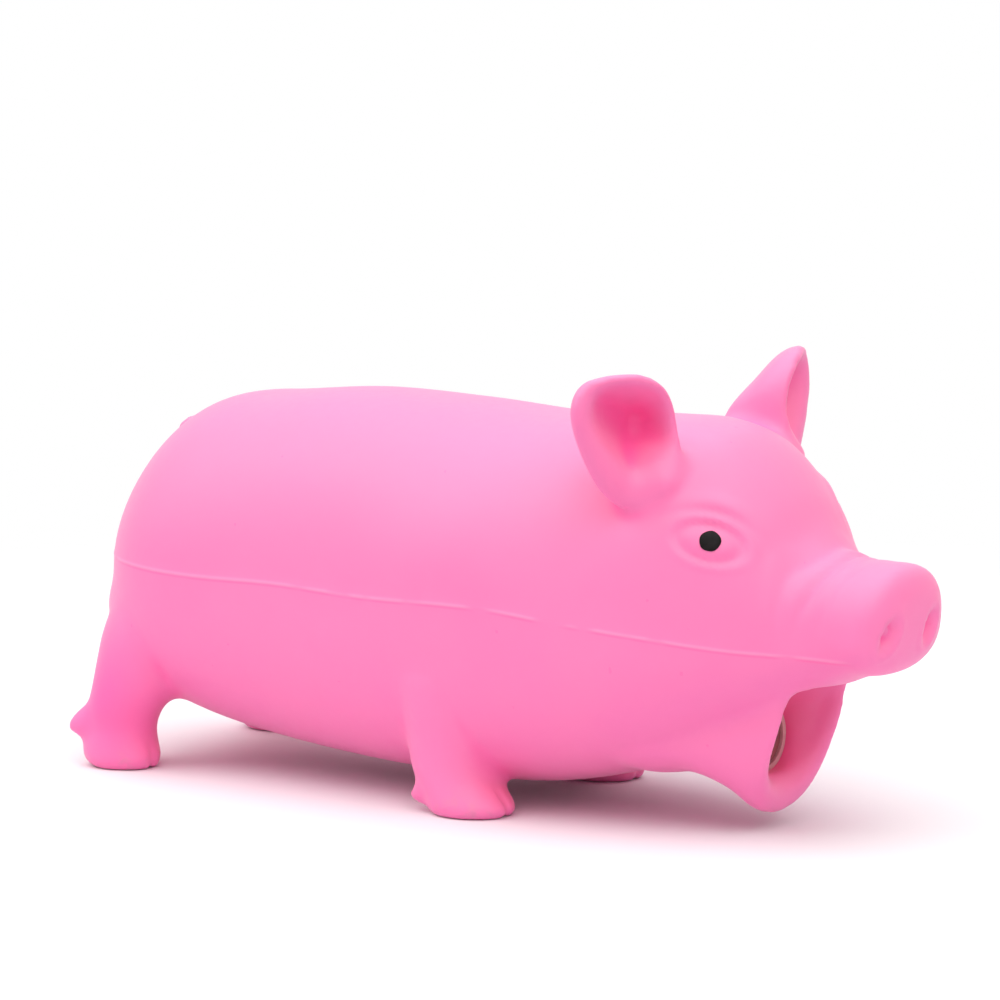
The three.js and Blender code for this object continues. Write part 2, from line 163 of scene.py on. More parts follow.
# Ears: the rim from the inner root over the tip, down the outer side and back along the head, with the
# rolled rim's width; then the middles of the back and of the cup.
EAR_RIM = np.array([
    (62.5, 21.8, 93, 2.8), (62.2, 23.4, 99.8, 2.8), (61.8, 26.9, 104.2, 3.2), (60.4, 31.5, 106.8, 3.8),
    (57.4, 37.5, 107.4, 4.2), (53.2, 45, 106, 4.6), (52, 48.2, 101, 5.2), (52.4, 47.9, 95.4, 5.6),
    (53.2, 45.2, 88.6, 6.6), (54.3, 41.3, 82.2, 7.8), (55.8, 36.4, 76.8, 8.6), (58.2, 32.8, 77.6, 8.6),
    (61.5, 29.3, 79.4, 8), (64.5, 24.8, 81.6, 8), (64, 22.2, 86.6, 4.8),
])
EAR_BACK = np.array((58.5, 28, 90))
EAR_CUP = np.array((59.3, 28.2, 95))
EAR_DROOP = {"left": np.radians(-1.5), "right": 0}
# Section of an ear from its back into the cup: share of the cup, of the rolled rim, distance forwards.
EAR_SECTION = np.array([
    (0, 0, -15), (0.35, 0, -12.5), (0.7, 0, -9), (1, 0, -6.4), (1, 0.65, -4.2),
    (1, 1, -1.8), (1, 1.1, -0.2), (1, 1, 1), (1, 0.65, 1.6), (1, 0.2, 0.9),
    (1, 0, -0.4), (0.75, 0, -3.9), (0.4, 0, -7.4), (0, 0, -8.8),
])
EAR_RIM_AT = 6
EAR_TURN = np.radians(27)
EAR_ROOT = np.array((60, 24, 86))
EAR_CUT_NORMAL = np.array((0, 0.39, 0.92))
EAR_CUT_INNER = 4
EAR_CUT_REAR = 30
CUT_SLIDE = 1.2
CUT_SLOPE = 0.3
# Knob before each ear's root and dent under it: middle, reach and height.
EAR_BUMPS = (((64, 28.5, 82.5), 3.2, 1.1), ((56.5, 36.5, 77.5), 4.2, -0.9))
# Swelling over a front leg and dip behind it: x, z, reach and height; and the flank's bounds.
SHOULDER_BUMPS = ((6, 63, 15, 0.9), (-24, 60, 17, -0.6))
FLANK_FROM = (20, 32)

# Tail curl on the rump: middle, tilt and turn, then radius, rise and tube at the root and the tip.
TAIL_MIDDLE = np.array((-95.6, 0, 80.2))
TAIL_TILT = np.radians(46)
TAIL_TURN = 7.2
TAIL_CURL = (3.2, 0.8)
TAIL_RISE = (-2, 2.6)
TAIL_TUBE = (3, 2.2)
TAIL_END = 0.05
TAIL_END_POWER = 12

# Eye: place, ball, then height, ring and width of the groove and the crease, the lids and the brow.
EYE = np.array((74, 26.3, 69.8))
BALL_HALF = (5.6, 3.1)
BALL_RISE = 0.7
EYE_GROOVE = (-0.5, 1.3, 0.26)
LID_CREASE = (-0.4, 2.35, 0.26)
UPPER_LID = 0.7
LOWER_LID = 0.35
LID_RING = 1.8
LID_WIDTH = 0.28
LID_SPLIT = 1.5
LID_LENGTH = 10
BROW_RISE = 0.75
BROW_LEVEL = 9.6
BROW_SAG = 0.03
BROW_WIDTH = 2
BROW_AHEAD = 2
BROW_LENGTH = 7.5
EYE_REACH = 22
# Paint of the eye: first ring, roundness of the dome, depth of its edge and of its back.
PAINT_START = 0.02
PAINT_DOME = 0.97
PAINT_SINK = 0.1
PAINT_BACK = 0.6

# Folds across the snout's bridge and furrows between them: height, place and width.
SNOUT_FOLDS = (
    (0.15, 86.5, 1.5), (0.5, 92.6, 1.5), (0.4, 97.2, 1.5), (0.2, 101.4, 1.5),
    (-0.25, 89.6, 1.2), (-0.4, 94.9, 1.2), (-0.25, 99.4, 1.2),
)
FOLD_LEAN = 0.14
FOLD_LEVEL = 62
BRIDGE_LOW = (47, 57)
BRIDGE_BACK = (74, 80)
# Nostrils: place, lean, half sizes, depth and rim; and the bead in the right one.
NOSTRIL_Y = 8.3
NOSTRIL_ASIDE = 1.7
NOSTRIL_Z = 49.9
NOSTRIL_LEAN = np.radians(24)
NOSTRIL_HALF = (2, 3.3)
NOSTRIL_DEPTH = 2.6
NOSTRIL_POWER = 1.3
NOSTRIL_FROM = (99, 103)
NOSTRIL_RIM = (0.3, 1.7, 0.35)
BEAD_RISE = 1.7
BEAD_LEVEL = 0.6
BEAD_WIDTH = 1

# Mould seam: height, fall towards the snout and its bounds, waves, ridge, and a painted highlight line with
# a painted shadow below.
SEAM_LINE = 51.5
SEAM_FALL = 7.7
SEAM_LEAVES = 20
SEAM_ENDS = 108
SEAM_WOBBLE = 0.3
SEAM_WAVES = 0.12
SEAM_RISE = 0.25
SEAM_WIDTH = 0.6
SEAM_FADE = (100, 106)
SEAM_HIGHLIGHT = 0.4
SEAM_SHADE = 0.3
SEAM_SHADE_BELOW = 0.7
# Painted shade, deeper pink round the hocks under the body's overhang: x and z of its middle and its reach.
HOCK_SHADE = (-94, 18)
HOCK_SHADE_REACH = (12, 14)

# Rounding of the fused skin: what counts as a fold, the edges of the lip and the ears, and the joins.
FOLD_LEAST = 0.09
FOLD_RANGE = 0.1
SPREAD_GAIN = 1.6
LIP_EDGE = (-4, -1)
LIP_TOP = (32, 37)
LIP_BACK = 66
EAR_EDGE = (1, 4)
EAR_EDGE_LOW = 70
EAR_EDGE_REAR = 40
UPPER_FROM = (56, 66)
MOUTH_RINGS = 2
CORNER = (90, 35)
CORNER_REACH = (6, 5)
CORNER_KEPT = 0.9
NARROW_WEIGHT = 0.8
ROOT_REACH = (2.5, 6)
ROOT_AHEAD = (57, 61)
ROOT_INNER = (22, 28)
EVEN_ROUNDS = 6
RELIEF_SOFTENING = 0.6
# Painted shade in the hollows: how far they are filled to measure them, and its paling at the throat.
HOLLOW_SHADE_ROUNDS = 56
THROAT_PALE = 0.8
THROAT_FROM = (42, 56)
THROAT_TOP = (42, 55)

# Studio, in metres: floor, softboxes by place, width and share of the power, sky and camera.
FLOOR_REACH = 2
FLOOR_FADE = (0.22, 0.42)
LAMPS = {
    "overhead": ((-0.05, -0.1, 0.9), 1.4, 1),
    "side": ((-0.8, -0.7, 0.7), 0.9, 0.46),
    "front": ((0.75, -0.4, 0.8), 0.9, 0.42),
}
LAMP_AIM = (0, 0, 0.05)
SKY_HEIGHT = (-0.2, 0.9)
SENSOR_WIDTH = 36
CLIP = (0.05, 20)


def through(knots, at):
    """A smooth curve through knots (position, values...): cubic pieces with slopes from the next ones."""
    x, y = knots[:, 0], knots[:, 1:]
    slope = np.gradient(y, x, axis=0)
    at = np.clip(at, x[0], x[-1])
    i = np.clip(np.searchsorted(x, at, side="right") - 1, 0, len(x) - 2)
    width = (x[i + 1] - x[i])[:, None]
    t = ((at - x[i])[:, None]) / width
    start, end = y[i], y[i + 1]
    return (
        start * (1 + 2 * t) * (1 - t) ** 2
        + end * t * t * (3 - 2 * t)
        + width * slope[i] * t * (1 - t) ** 2
        - width * slope[i + 1] * t * t * (1 - t)
    )


def round_loop(points, count):
    """A closed smooth curve through points, sampled evenly in its parameter."""
    size = len(points)
    knots = np.column_stack((np.arange(-2, size + 3), points[np.arange(-2, size + 3) % size]))
    return through(knots, np.linspace(0, size, count, endpoint=False))


def power(value, exponent):
    """A signed power, for superellipses."""
    return np.sign(value) * np.abs(value) ** exponent


def ease(value, low, high):
    """0 below low, 1 above high and a smooth rise between them."""
    t = np.clip((value - low) / (high - low), 0, 1)
    return t * t * (3 - 2 * t)


def hump(distance, width):
    """A bell of height 1 at distance 0."""
    return np.exp(-((distance / width) ** 2))


def ridge(distance, height, at, width):
    """A bell of the given height and width at one distance."""
    return height * hump(distance - at, width)


def plane_of(out):
    """Unit directions along the pig and upwards or downwards, in the plane across out."""
    ahead = np.array((1.0, 0, 0)) - out[0] * out
    ahead /= np.linalg.norm(ahead)
    return ahead, np.cross(out, ahead)


def skinned(rows):
    """Points and faces of closed rings rows[i, j], each end shut by a fan to its middle."""
    count, around = rows.shape[:2]
    points = np.concatenate((rows.reshape(-1, 3), rows[:1].mean(axis=1), rows[-1:].mean(axis=1)))
    i, j = np.meshgrid(np.arange(count - 1), np.arange(around), indexing="ij")
    k = (j + 1) % around
    row, after = i * around, (i + 1) * around
    quads = np.stack((row + j, row + k, after + k, after + j), axis=-1)
    j = np.arange(around)
    k = (j + 1) % around
    first = np.stack((np.full(around, count * around), k, j), axis=-1)
    last = (count - 1) * around
    end = np.stack((np.full(around, count * around + 1), last + j, last + k), axis=-1)
    return points, quads.reshape(-1, 4).tolist() + first.tolist() + end.tolist()


def rump_size(x, exponent):
    """Share of the full section along the rump, which closes as a superellipse."""
    return (1 - (1 - np.clip((x - TRUNK_REAR) / RUMP_LENGTH, 0, 1)) ** exponent) ** (1 / exponent)


def trunk_sizes(x):
    """Sizes of the trunk's section at x, with the rump closed.

    Half width above and below the seam, height above it, depth below it and the upper half's power.
    """
    back, belly, half = through(TRUNK, x).T
    section = REAR_POWER + (TRUNK_POWER - REAR_POWER) * ease(x, TRUNK_REAR, TRUNK_REAR + REAR_REACH)
    return (
        half * rump_size(x, RUMP_WIDTH_POWER),
        half * rump_size(x, HAUNCH_POWER),
        (back - SEAM) * rump_size(x, RUMP_BACK_POWER),
        (SEAM - belly) * rump_size(x, RUMP_BELLY_POWER),
        section,
    )


def trunk_rows():
    """Superellipse rings along x, whose half width, back and belly follow the outline.

    The rump closes as a superellipse, and the snout as a tilted end with a rounded edge.
    """
    rear = TRUNK_REAR + RUMP_LENGTH * (1 - np.cos(np.linspace(0.01, np.pi / 2, 90)))
    edge = np.sin(np.linspace(0.0, np.pi / 2 - 0.01, 50)) ** (2 / SNOUT_EDGE_POWER)
    front = TRUNK_FRONT - SNOUT_EDGE + SNOUT_EDGE * edge
    x = np.concatenate((rear, np.linspace(rear[-1], front[0], 150)[1:-1], front))
    half, haunch, above, below, section = trunk_sizes(x)
    into = np.clip((x - TRUNK_FRONT + SNOUT_EDGE) / SNOUT_EDGE, 0, 1)
    snout = (1 - into**SNOUT_EDGE_POWER) ** (1 / SNOUT_EDGE_POWER)
    angle = np.linspace(0, 2 * np.pi, 180, endpoint=False)[None]
    shape = 2 / np.where(angle < np.pi, section[:, None], TRUNK_POWER)
    side, up = power(np.cos(angle), shape), power(np.sin(angle), shape)
    wide = half[:, None] + (haunch - half)[:, None] * ease(-np.sin(angle), 0, HAUNCH_BLEND)
    y = wide * snout[:, None] * side
    z = SEAM + snout[:, None] * np.where(up > 0, above[:, None], below[:, None]) * up
    tilt = SNOUT_TILT * ease(x, SNOUT_TILT_FROM, TRUNK_FRONT)[:, None] * (z - SNOUT_TILT_LEVEL)
    return np.stack((x[:, None] + tilt, y, z), axis=-1)


def leg_rows(kind, side):
    """Round rings up a leg, as its table says, with a toe pushed forwards at the foot."""
    foot_x, foot_y = FEET[kind]
    rings = LEG_RINGS[kind]
    height = np.concatenate((np.zeros(2), np.linspace(0, rings[-1, 0], 90)))
    radius, ahead, draw = through(rings, height).T
    radius[0], radius[1] = SOLE_MIDDLE, radius[1] * SOLE_SHARE
    angle = np.linspace(0, 2 * np.pi, 96, endpoint=False)[None]
    x = (foot_x + ahead)[:, None] + radius[:, None] * np.cos(angle)
    y = side * (foot_y - draw)[:, None] + radius[:, None] * np.sin(angle)
    toe = TOE_REACH * np.cos(angle).clip(0) ** 2 * (1 - ease(height, *TOE_FADE))[:, None]
    return np.stack((x + toe, y, np.broadcast_to(height[:, None], x.shape)), axis=-1)


def dewclaw_rows(kind, side):
    """A spur of round rings that narrow from inside the leg to a blunt tip behind and outside it."""
    foot_x, foot_y = FEET[kind]
    root, tip, length, radius = DEWCLAWS[kind]
    axis = through(LEG_RINGS[kind], np.array((root,)))[0, 1]
    way = np.array((*DEWCLAW_WAY * length * (1, side), tip - root))
    along = np.linspace(0, 0.99, 40)[:, None, None]
    angle = np.linspace(0, 2 * np.pi, 40, endpoint=False)[None, :, None]
    beside = np.array((DEWCLAW_WAY[1], -DEWCLAW_WAY[0] * side, 0))
    over = np.cross(beside, way / np.linalg.norm(way))
    size = radius * (1 - along**DEWCLAW_TAPER) ** DEWCLAW_TIP
    start = np.array((foot_x + axis, side * foot_y, root))
    return start + along * way + size * (np.cos(angle) * beside + np.sin(angle) * over)


def jaw_ring(ring, inset=0.0, chin=0.0, egg=0.0, full=JAW_POWER):
    """A tilted ring: half width across y, half height along a line tilted forwards.

    It is an ellipse above and a fuller superellipse below, its lower end lifted by the chin and its
    upper half widened by the egg's share.
    """
    behind, below, half, tall, tilt = ring
    angle = np.linspace(0, 2 * np.pi, 120, endpoint=False)
    shape = np.where(angle > np.pi, 2 / full, 1.0)
    side, up = power(np.cos(angle), shape), power(np.sin(angle), shape)
    rise = (tall - inset) * up + chin * (1 - up) / 2
    lean = np.radians(tilt)
    return np.stack((
        SNOUT_ROOT - behind + rise * np.sin(lean),
        (half - inset) * side * (1 + egg * up.clip(0)),
        SEAM - below + rise * np.cos(lean),
    ), axis=-1)


def lofted(rings, count):
    """Rings carried smoothly from one to the next."""
    rings = np.stack(rings)
    size = len(rings)
    flat = np.column_stack((np.arange(size), rings.reshape(size, -1)))
    return through(flat, np.linspace(0, size - 1, count)).reshape(count, -1, 3)


def lip_ring(turn):
    """The lip ring carried over a half circle from the jaw's outside to its inside, one wall across."""
    tilt = np.radians(JAW[-1, 4])
    ahead = JAW_WALL / 2 * np.sin(turn)
    ring = JAW[-1] + ahead * np.array((-np.cos(tilt), np.sin(tilt), 0, 0, 0))
    into = (1 - np.cos(turn)) / 2
    return jaw_ring(ring, JAW_WALL * into, CHIN * into, MOUTH_EGG * into)


def jaw_rows():
    """The jaw as a cup: rings along the outside, over the lip and along the inside to the grunter."""
    outside = lofted([jaw_ring(ring) for ring in JAW], 80)
    lip = np.stack([lip_ring(turn) for turn in np.linspace(0, np.pi, 12)[1:-1]])
    inside = lofted(list(mouth_rings()[:4])[::-1], 40)
    return np.concatenate((outside, lip, inside))


def mouth_rings():
    """Rings of the mouth's hollow from behind the grunter's front to beyond the lip."""
    lip = JAW[-1]
    beyond = lip + np.array((-MOUTH_AHEAD, MOUTH_DROP, 0, -MOUTH_DROP, 0))
    behind, below = SNOUT_ROOT - GRUNTER_FRONT, SEAM - GRUNTER_AXIS
    seat = np.array((behind, below, GRUNTER_RADIUS, GRUNTER_RADIUS, 0.0))
    deep = seat + np.array((GRUNTER_FRONT - THROAT_BACK, 0, 0, 0, 0))
    inner = jaw_ring(JAW[-2], JAW_WALL + MOUTH_NARROWING, CHIN, MOUTH_EGG)
    outer = [jaw_ring(ring, JAW_WALL, CHIN, MOUTH_EGG) for ring in (lip, beyond)]
    return jaw_ring(deep, full=2.0), jaw_ring(seat, full=2.0), inner, *outer


def mouth_rows():
    """The hollow of the mouth: rings one wall inside the jaw from the grunter to beyond the lip."""
    return lofted(mouth_rings(), 60)


def ear_rows(name):
    """Rims scaled towards the ear's middle and moved along the way it faces, as its section says.

    They run from the ear's back over the rim into the cup, and the whole ear droops about its root.
    """
    rim, wide = np.split(round_loop(EAR_RIM, 160), (3,), axis=1)
    knots = np.arange(len(EAR_SECTION))
    at = np.linspace(0, knots[-1], 90)[1:-1]
    cup, roll, forward = through(np.column_stack((knots, EAR_SECTION)), at).T
    middle = np.where((at < EAR_RIM_AT)[:, None], EAR_BACK, EAR_CUP)[:, None]
    length = np.linalg.norm(rim - middle, axis=2)
    reach = cup[:, None] + (roll - cup)[:, None] * wide[:, 0] / length
    rows = middle + reach[..., None] * (rim - middle)
    rows += forward[:, None, None] * np.array((np.cos(EAR_TURN), np.sin(EAR_TURN), 0))
    droop = EAR_DROOP[name]
    away = rows - EAR_ROOT
    rows[..., 1] += away[..., 1] * (np.cos(droop) - 1) - away[..., 2] * np.sin(droop)
    rows[..., 2] += away[..., 1] * np.sin(droop) + away[..., 2] * (np.cos(droop) - 1)
    return rows * np.array((1, SIDES[name], 1))


def trunk_reach(points):
    """How far points stand out of the trunk, about, in millimetres: below 0 inside it."""
    half, haunch, above, below, section = (np.maximum(size, 0.5) for size in trunk_sizes(points[:, 0]))
    rise = points[:, 2] - SEAM
    tall = np.where(rise > 0, above, below)
    half = half + (haunch - half) * ease(-rise / tall, 0, HAUNCH_BLEND)
    section = np.where(rise > 0, section, TRUNK_POWER)
    size = (np.abs(points[:, 1] / half) ** section + np.abs(rise / tall) ** section) ** (1 / section)
    return (size - 1) * np.minimum(half, tall)


def tail_rows():
    """A thinning round tube along a curl that rises out of the rump."""
    turn = np.linspace(0, TAIL_TURN, 90)[:, None]
    curl, rise, tube = (
        np.interp(turn, (0, TAIL_TURN), ends) for ends in (TAIL_CURL, TAIL_RISE, TAIL_TUBE)
    )
    along = np.array((np.sin(TAIL_TILT), 0, np.cos(TAIL_TILT)))
    out = np.array((-np.cos(TAIL_TILT), 0, np.sin(TAIL_TILT)))
    spoke = np.cos(turn) * np.array((0, 1.0, 0)) + np.sin(turn) * along
    path = TAIL_MIDDLE + curl * spoke + rise * out
    step = np.gradient(path, axis=0)
    beside = np.cross(step, out)
    beside /= np.linalg.norm(beside, axis=1, keepdims=True)
    tube = tube * (1 - (turn / TAIL_TURN) ** TAIL_END_POWER) ** 0.5 + TAIL_END
    angle = np.linspace(0, 2 * np.pi, 32, endpoint=False)
    ring = np.cos(angle)[None, :, None] * beside[:, None] + np.sin(angle)[None, :, None] * out
    return path[:, None] + tube[..., None] * ring


def new_object(name, points, faces):
    """A mesh object at the origin from points in millimetres."""
    mesh = bpy.data.meshes.new(name)
    mesh.from_pydata((np.asarray(points) * MM).tolist(), [], faces)
    mesh.update()
    obj = bpy.data.objects.new(name, mesh)
    bpy.context.scene.collection.objects.link(obj)
    return obj


def outward_mesh(obj):
    """Turns all faces of a closed mesh outwards."""
    form = bmesh.new()
    form.from_mesh(obj.data)
    bmesh.ops.recalc_face_normals(form, faces=form.faces)
    form.to_mesh(obj.data)
    form.free()


def arrays_of(obj):
    """Points in millimetres, faces' corners in a row, their counts and the edges, as modified."""
    shape = obj.evaluated_get(bpy.context.evaluated_depsgraph_get())
    mesh = shape.to_mesh()
    verts = np.empty(len(mesh.vertices) * 3)
    mesh.vertices.foreach_get("co", verts)
    loops = np.empty(len(mesh.loops), dtype=np.int32)
    mesh.loops.foreach_get("vertex_index", loops)
    counts = np.empty(len(mesh.polygons), dtype=np.int32)
    mesh.polygons.foreach_get("loop_total", counts)
    edges = np.empty(len(mesh.edges) * 2, dtype=np.int32)
    mesh.edges.foreach_get("vertices", edges)
    shape.to_mesh_clear()
    return verts.reshape(-1, 3) / MM, loops, counts, edges.reshape(-1, 2)


def dropped(*objects):
    """Takes working objects and their meshes out of the file."""
    for obj in objects:
        mesh = obj.data
        bpy.data.objects.remove(obj)
        bpy.data.meshes.remove(mesh)


def hollowed(solid, hollow):
    """Points and faces of a closed surface with another one cut out of it."""
    body, cutter = new_object("solid", *solid), new_object("hollow", *hollow)
    outward_mesh(body)
    outward_mesh(cutter)
    cut = body.modifiers.new("cut", "BOOLEAN")
    cut.operation, cut.object, cut.solver = "DIFFERENCE", cutter, "EXACT"
    verts, loops, counts, _ = arrays_of(body)
    dropped(body, cutter)
    return verts, [face.tolist() for face in np.split(loops, np.cumsum(counts)[:-1])]


def fused(surfaces, voxel):
    """Points, quads and edges of closed surfaces joined into one skin by a voxel remesh."""
    points, faces, start = [], [], 0
    for part, part_faces in surfaces:
        points.append(part)
        faces += [[start + i for i in face] for face in part_faces]
        start += len(part)
    body = new_object("fuse", np.concatenate(points), faces)
    outward_mesh(body)
    join = body.modifiers.new("join", "REMESH")
    join.mode, join.voxel_size, join.adaptivity = "VOXEL", voxel, 0.0
    verts, loops, counts, edges = arrays_of(body)
    dropped(body)
    if not len(counts) or (counts != 4).any():
        raise RuntimeError("the fused skin is not all quads")
    return verts, loops.reshape(-1, 4), edges


def neighbour_mean(values, edges):
    """Mean of each vertex's neighbours along the edges."""
    a, b = edges.T
    size = len(values)
    degree = np.bincount(a, minlength=size) + np.bincount(b, minlength=size)
    total = [np.bincount(a, column[b], size) + np.bincount(b, column[a], size) for column in values.T]
    return np.stack(total, axis=1) / np.maximum(degree, 1)[:, None]


def relaxed(verts, edges, weight, rounds):
    """Vertices drawn towards their neighbours' mean, by half of weight each round."""
    for _ in range(rounds):
        verts = verts + 0.5 * weight[:, None] * (neighbour_mean(verts, edges) - verts)
    return verts


def vertex_normals(verts, quads):
    """Outward unit normals, from the crossed diagonals of the quads round each vertex."""
    corner = verts[quads]
    face = np.cross(corner[:, 2] - corner[:, 0], corner[:, 3] - corner[:, 1])
    size = len(verts)
    total = sum(
        np.stack([np.bincount(quads[:, k], face[:, axis], size) for axis in range(3)], axis=1)
        for k in range(4)
    )
    return total / np.linalg.norm(total, axis=1, keepdims=True)


def creases(verts, quads, edges):
    """How sharply the skin folds at each vertex, in millimetres, below 0 on an edge.

    It is the outward pull of the mean of the vertex's neighbours.
    """
    pull = neighbour_mean(verts, edges) - verts
    return (pull * vertex_normals(verts, quads)).sum(axis=1)


def spread(weight, edges, rounds):
    """Weights carried outwards over the skin, fading with the distance."""
    for _ in range(rounds):
        weight = np.maximum(weight, neighbour_mean(weight[:, None], edges)[:, 0])
    return np.clip(weight * SPREAD_GAIN, 0, 1)


def seam_height(x):
    """Height of the mould seam along the pig: level along the body, falling towards the snout."""
    return SEAM_LINE - SEAM_FALL * ease(x, SEAM_LEAVES, SEAM_ENDS) + SEAM_WOBBLE * np.sin(SEAM_WAVES * x)


def eye_detail(verts, normals, middle):
    """Height of the eye's relief, measured in the skin's own plane at the eye.

    A ball, a groove round it, two lids and a crease over the upper one are bells over elliptical rings;
    the brow is a bell over a bent line above them.
    """
    nearest = np.argmin(((verts - middle) ** 2).sum(axis=1))
    out = normals[nearest]
    ahead, up = plane_of(out)
    up = up * np.sign(up[2])
    away = verts - verts[nearest]
    a, b = away @ ahead, away @ up
    ring = np.sqrt((a / BALL_HALF[0]) ** 2 + (b / BALL_HALF[1]) ** 2)
    above = ease(b, -LID_SPLIT, LID_SPLIT)
    ends = hump(a, LID_LENGTH)
    relief = BALL_RISE * np.exp(-(ring**4))
    relief += ridge(ring, *EYE_GROOVE)
    relief += (UPPER_LID * above + LOWER_LID * (1 - above)) * hump(ring - LID_RING, LID_WIDTH) * ends
    relief += ridge(ring, *LID_CREASE) * above * ends
    brow = hump(b - BROW_LEVEL + BROW_SAG * a * a, BROW_WIDTH)
    relief += BROW_RISE * brow * hump(a - BROW_AHEAD, BROW_LENGTH)
    return relief * ((away * away).sum(axis=1) < EYE_REACH**2)


def snout_detail(verts):
    """Height of the snout's relief: wavy folds over the bridge, nostrils, and a bead in the right one."""
    x, y, z = verts.T
    bridge = ease(z, *BRIDGE_LOW) * ease(x, *BRIDGE_BACK)
    slope = x - FOLD_LEAN * (z - FOLD_LEVEL)
    slope = slope + 0.8 * np.sin(0.3 * y + 0.4) + 0.5 * np.sin(0.23 * z + 0.5 * x)
    folds = sum(ridge(slope, *fold) for fold in SNOUT_FOLDS)
    aside = y + NOSTRIL_ASIDE
    across, lift = aside - NOSTRIL_Y * np.sign(aside), z - NOSTRIL_Z
    wide = across * np.cos(NOSTRIL_LEAN) - lift * np.sin(NOSTRIL_LEAN)
    tall = lift * np.cos(NOSTRIL_LEAN) + across * np.sin(NOSTRIL_LEAN)
    oval = (wide / NOSTRIL_HALF[0]) ** 2 + (tall / NOSTRIL_HALF[1]) ** 2
    front = ease(x, *NOSTRIL_FROM)
    pits = -NOSTRIL_DEPTH * np.exp(-(oval**NOSTRIL_POWER)) * front
    bead = BEAD_RISE * hump(np.hypot(aside + NOSTRIL_Y, lift - BEAD_LEVEL), BEAD_WIDTH) * front
    rim = ridge(np.sqrt(oval), *NOSTRIL_RIM) * front
    return folds * bridge + pits + bead + rim


def foot_detail(verts):
    """Depth of the split between the two toes at the front of each foot."""
    x, y, z = verts.T
    relief = np.zeros(len(verts))
    for foot_x, foot_y in FEET.values():
        front = ease(x - foot_x, *CLEFT_FROM) * (x - foot_x < CLEFT_REACH)
        relief -= CLEFT_DEPTH * hump(np.abs(y) - foot_y, CLEFT_WIDTH) * front * (1 - ease(z, *CLEFT_FADE))
    return relief


def seam_detail(verts):
    """Height of the thin mould seam round the pig, uneven along its length."""
    x, y, z = verts.T
    uneven = 0.7 + 0.3 * np.sin(0.21 * x + 0.05 * y) * np.sin(0.083 * x + 1.3)
    body = 1 - ease(x, *SEAM_FADE)
    return SEAM_RISE * uneven * hump(z - seam_height(x), SEAM_WIDTH) * body


def shoulder_detail(verts):
    """Height of the soft swelling over each front leg and of the dip behind it."""
    x, y, z = verts.T
    flank = ease(np.abs(y), *FLANK_FROM)
    return flank * sum(
        height * hump(np.hypot(x - at, z - level), reach) for at, level, reach, height in SHOULDER_BUMPS
    )


def ear_detail(verts):
    """Height of the small knob in front of each ear's root and of the dent under the ear."""
    x, y, z = verts.T
    folded = np.column_stack((x, np.abs(y), z))
    return sum(
        height * hump(np.linalg.norm(folded - middle, axis=1), reach)
        for middle, reach, height in EAR_BUMPS
    )


def mouth_inside(verts, normals):
    """1 on the skin that faces the grunter's axis inside the mouth, 0 elsewhere."""
    x, y, z = verts.T
    away = np.maximum(np.hypot(y, z - GRUNTER_AXIS), 1)
    inward = -(normals[:, 1] * y + normals[:, 2] * (z - GRUNTER_AXIS)) / away
    near = ease(x, *MOUTH_BACK) * (1 - ease(x, *MOUTH_FRONT))
    near = near * (1 - ease(z, *MOUTH_TOP)) * (1 - ease(np.abs(y), *MOUTH_SIDE))
    return ease(inward, *MOUTH_FACING) * near


def mouth_shade_share(verts, normals):
    """How much painted shade the mouth gets: full at the grunter and fading towards the lip."""
    depth = 1 - ease(verts[:, 0] - MOUTH_SHADE_LEAN * (verts[:, 2] - GRUNTER_AXIS), *MOUTH_SHADE_FADE)
    return mouth_inside(verts, normals) * (MOUTH_SHADE_LEAST + (1 - MOUTH_SHADE_LEAST) * depth)


def edge_weights(verts):
    """1 on the lip and on the ears, whose edges are rounded first, and 0 elsewhere."""
    x, _, z = verts.T
    lip = JAW[-1]
    tilt = np.radians(lip[4])
    ahead = (x - SNOUT_ROOT + lip[0]) * np.cos(tilt) - (z - SEAM + lip[1]) * np.sin(tilt)
    edge = ease(ahead, *LIP_EDGE) * (1 - ease(z, *LIP_TOP)) * (x > LIP_BACK)
    edge += ease(trunk_reach(verts), *EAR_EDGE) * (z > EAR_EDGE_LOW) * (x > EAR_EDGE_REAR)
    return edge.clip(0, 1)


def join_weights(verts, quads, edges, fold, skin):
    """Where folds are rounded: wide joins below, narrow ones above, and the ears' roots."""
    x, y, z = verts.T
    low = 1 - ease(z, *UPPER_FROM)
    mouth = spread(mouth_inside(verts, vertex_normals(verts, quads)), edges, MOUTH_RINGS)
    corner = hump(x - CORNER[0], CORNER_REACH[0]) * hump(z - CORNER[1], CORNER_REACH[1])
    wide = spread(fold * low * (1 - mouth), edges, skin.fillet_reach) * (1 - CORNER_KEPT * corner)
    root = 1 - ease(trunk_reach(verts), *ROOT_REACH)
    medial = np.maximum(ease(x, *ROOT_AHEAD), 1 - ease(np.abs(y), *ROOT_INNER))
    narrow = spread(fold * (1 - low) * NARROW_WEIGHT, edges, skin.fillet_reach // 3)
    ear_root = spread(fold * (1 - low) * root * medial, edges, skin.fillet_reach) * root * medial
    return wide, narrow, ear_root


def skin_tones(verts, edges, normals):
    """How hollow, how far inside the mouth and how much turned up each point of the skin is, for the
    painted shade in the material.
    """
    filled = relaxed(verts, edges, np.ones(len(verts)), HOLLOW_SHADE_ROUNDS)
    hollow = ((filled - verts) * normals).sum(axis=1) * (1 - mouth_inside(verts, normals))
    hollow *= 1 - THROAT_PALE * ease(verts[:, 0], *THROAT_FROM) * (1 - ease(verts[:, 2], *THROAT_TOP))
    return {"hollow": hollow, "mouth_shade": mouth_shade_share(verts, normals), "up": normals[:, 2]}


